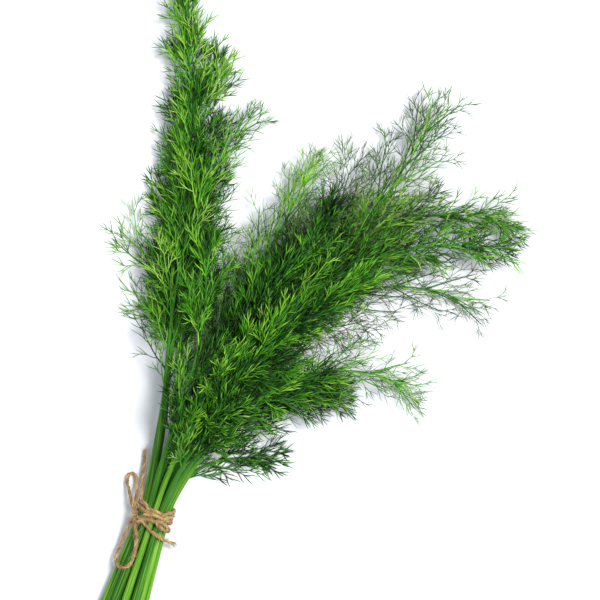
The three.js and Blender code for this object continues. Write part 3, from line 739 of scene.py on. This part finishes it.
def ply_batch(lines, radii, outs, tones, distance, row):
    """The plies as tubes. Fibres run along them in streaks, at a slant."""
    corners, faces, along, around = tubes(lines, radii, PLY_SIDES, outs)
    ring = np.append(np.repeat(np.arange(lines.shape[1] - 1), PLY_SIDES), lines.shape[1] - 1)
    slant = around + distance[ring] * STREAK_SLANT
    place = distance[ring] * STREAK_ALONG + LENGTHS_APART * row
    skin = np.column_stack([np.cos(slant) * STREAK_ROUND, np.sin(slant) * STREAK_ROUND, place])
    plies = np.arange(PLIES)[:, None, None]
    skins = skin + plies * PLIES_APART
    rows = (row * PLIES + plies + around[faces] / WIDER_THAN_ROUND) / (PLIES * BAKE_ROWS)
    u, v = np.broadcast_arrays(along[faces], rows)
    return dict(corners=corners, faces=faces, uv=np.stack([u, v], axis=-1), slots=np.zeros(len(faces), int),
                tone=tones[:, ring], along=along, skin=skins)


def fibre_batch(roots, ways, outs, lengths, lifts, draws):
    """Loose fibres, each curling off the twine."""
    count = len(roots)
    curl = draws.normal(0, FIBRE_CURLS, (count, 3))
    reach = lengths[:, None, None] * FIBRE_BENDS[:, None]
    rise = lifts[:, None, None] * np.sin(FIBRE_BENDS * FIBRE_ARCH)[:, None]
    points = roots[:, None] + reach * ways[:, None] + rise * outs[:, None]
    points = points + curl[:, None] * reach * FIBRE_BENDS[:, None]
    thick = np.tile(FIBRE_RADII, (count, 1))
    points[..., 2] = np.maximum(points[..., 2], FIBRE_RADII[0])
    corners, faces, along, _ = tubes(points, thick, FIBRE_SIDES, unit(outs + curl)[:, None])
    tones = draws.uniform(*FIBRE_TONES, count)[:, None]
    u, v = np.broadcast_arrays(tones[..., None], FIBRE_V + FIBRE_V_RISE * along[faces])
    return dict(corners=corners, faces=faces, uv=np.stack([u, v], axis=-1), slots=np.zeros(len(faces), int),
                tone=tones, along=along, skin=draws.uniform(0, FIBRES_APART, (count, 1, 3)))


def twine_batches(draws):
    """All the twine's plies, and the fibres that stand off them and fray its ends."""
    lengths = [
        (np.concatenate([through(FREE_TAIL)[:-1], wraps()]), -1),
        (knotted(), 0),
        (through(UPPER_LOOP), 0),
        (through(LOWER_LOOP), 0),
        (through(FOLDED_LOOP), 0),
        (through(SHORT_TAIL), 1),
    ]
    batches, roots, ways, outs, ends = [], [], [], [], []
    for row, (line, frays) in enumerate(lengths):
        line = evened(softened(evened(line, TWINE_STEP), TWINE_SOFTENS), TWINE_STEP)
        lines, radii, out, tones, distance = plied(line, frays, draws)
        lines[..., 2] = np.maximum(lines[..., 2], radii)
        batches.append(ply_batch(lines, radii, out, tones, distance, row))
        roots.append((lines + out * radii[..., None] * FIBRE_ROOTS).reshape(-1, 3))
        ways.append(unit(np.gradient(lines, axis=1)).reshape(-1, 3))
        outs.append(out.reshape(-1, 3))
        if frays:
            end = -1 if frays > 0 else 0
            ends.append((line[end], unit(line[end] - line[end - END_STEPS * frays])))
    roots, ways, outs = (np.concatenate(held) for held in (roots, ways, outs))
    chosen = draws.integers(0, len(roots), FIBRES)
    turned = ways[chosen] * draws.choice([-1, 1], (FIBRES, 1))
    lengths, lifts = draws.uniform(*FIBRE_LENGTHS, FIBRES), draws.uniform(*FIBRE_LIFTS, FIBRES)
    batches.append(fibre_batch(roots[chosen], turned, outs[chosen], lengths, lifts, draws))
    for end, way in ends:
        spread = unit(way + draws.normal(0, FRAYED_SPREAD, (FRAYED_FIBRES, 3)))
        start = end + draws.normal(0, FRAYED_ROOTS, (FRAYED_FIBRES, 3)) - way * FRAYED_BACK
        start[:, 2] = np.maximum(start[:, 2], FRAYED_LOWEST)
        lengths = draws.uniform(*FRAYED_LENGTHS, FRAYED_FIBRES)
        upward = np.tile(UP, (FRAYED_FIBRES, 1))
        batches.append(fibre_batch(start, spread, upward, lengths, lengths * FRAYED_LIFT, draws))
    return batches


# Retted jute: dry straw-brown bast fibre with a dull silky sheen, paler where the fibres stand proud.
FIBRE_RELIEF = 0.2  # millimetres
TONE_SHARE = 0.5  # how much a ply's own tone shifts its streaks
jute, tree, surface = new_material("retted_jute_fibre")
skin = add(tree, "Attribute", attribute_name="skin").outputs["Vector"]
tone = add(tree, "Attribute", attribute_name="tone").outputs["Fac"]
streak = add(tree, "TexNoise", {"Vector": skin, "Scale": 1, "Detail": 4, "Roughness": 0.65}).outputs[0]
shade = add(tree, "Math", {0: tone, 1: TONE_SHARE, 2: streak}, operation="MULTIPLY_ADD").outputs[0]
brown = colours(tree, shade, [(0.44, "#2e1c0b"), (0.6, "#694a27"), (0.76, "#9c7945"), (0.92, "#cfb57f")])
tree.links.new(brown, surface.inputs["Base Color"])
height = add(tree, "Bump", {"Height": streak, "Strength": 0.6, "Distance": FIBRE_RELIEF * MM})
tree.links.new(height.outputs[0], surface.inputs["Normal"])
surface.inputs["Roughness"].default_value = 0.75
surface.inputs["Specular IOR Level"].default_value = 0.3
surface.inputs["Sheen Weight"].default_value = 0.25
surface.inputs["Sheen Roughness"].default_value = 0.4

twine = one_mesh("jute_twine_bow", twine_batches(np.random.default_rng(TWINE_SEED)), [jute])
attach(twine, "root")
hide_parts("jute_twine")


# ---- The floor and the light ----
# A plain board that the bunch lies on, lit softly from all round and by a wide lamp from the upper right.
# Neither belongs to the part.
FLOOR_HALF = 3  # metres
LAMP_PLACE = Vector((0.9, 0.38, 2.25))  # metres; it faces the part's origin

floor_mesh = bpy.data.meshes.new("floor")
corners = [(-FLOOR_HALF, -FLOOR_HALF, 0), (FLOOR_HALF, -FLOOR_HALF, 0),
           (FLOOR_HALF, FLOOR_HALF, 0), (-FLOOR_HALF, FLOOR_HALF, 0)]
floor_mesh.from_pydata(corners, [], [(0, 1, 2, 3)])
floor = bpy.data.objects.new("floor", floor_mesh)
bpy.context.scene.collection.objects.link(floor)
# Matt board of a very pale grey, without a gloss.
board, tree, surface = new_material("matt_pale_board")
surface.inputs["Base Color"].default_value = linear("#dcdde0")
surface.inputs["Roughness"].default_value = 0.9
floor_mesh.materials.append(board)

world = bpy.data.worlds.new("studio")
world.use_nodes = True
world.node_tree.nodes["Background"].inputs["Color"].default_value = linear("#f2f7ff")
world.node_tree.nodes["Background"].inputs["Strength"].default_value = 0.85
bpy.context.scene.world = world

lamp = bpy.data.objects.new("lamp", bpy.data.lights.new("lamp", "AREA"))
lamp.data.size = 0.7
lamp.data.energy = 76
lamp.location = LAMP_PLACE
lamp.rotation_mode = "QUATERNION"
lamp.rotation_quaternion = (-LAMP_PLACE).to_track_quat("-Z", "Y")
bpy.context.scene.collection.objects.link(lamp)
bpy.context.scene.view_settings.view_transform = "Standard"
